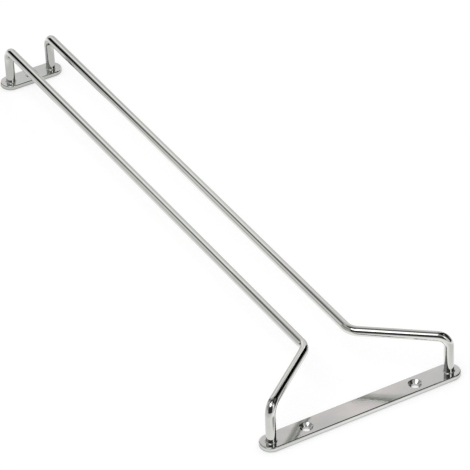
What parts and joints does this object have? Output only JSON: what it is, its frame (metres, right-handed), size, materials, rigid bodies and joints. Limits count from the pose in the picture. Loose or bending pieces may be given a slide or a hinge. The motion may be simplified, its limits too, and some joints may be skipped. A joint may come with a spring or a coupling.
{
  "type": "hanging wine glass rack",
  "caption": "Chromed rod rack that screws under a shelf; stemmed glasses slide in at the flared end and hang from two parallel rails.",
  "frame": {"origin": "centre of the bounding box at its base, on the plane of the plates' mounting faces", "axes": "+Y along the rails from the flared loading end to the short rear plate, +X across to the right rod, +Z from the mounting faces to the rails, so +Z points down when the rack hangs under a shelf"},
  "size_m": [0.127, 0.406, 0.029],
  "materials": {
    "chromed_bar": "polished chrome plate on flat steel bar",
    "chromed_rod": "polished chrome plate on drawn steel rod",
    "chromed_weld": "polished chrome plate over a dressed weld, slightly softer than the rod"
  },
  "bodies": {
    "root": {"front_plate": "chromed_bar", "rear_plate": "chromed_bar", "left_rod": "chromed_rod", "right_rod": "chromed_rod", "front_left_weld": "chromed_weld", "front_right_weld": "chromed_weld", "rear_left_weld": "chromed_weld", "rear_right_weld": "chromed_weld"}
  },
  "joints": []
}
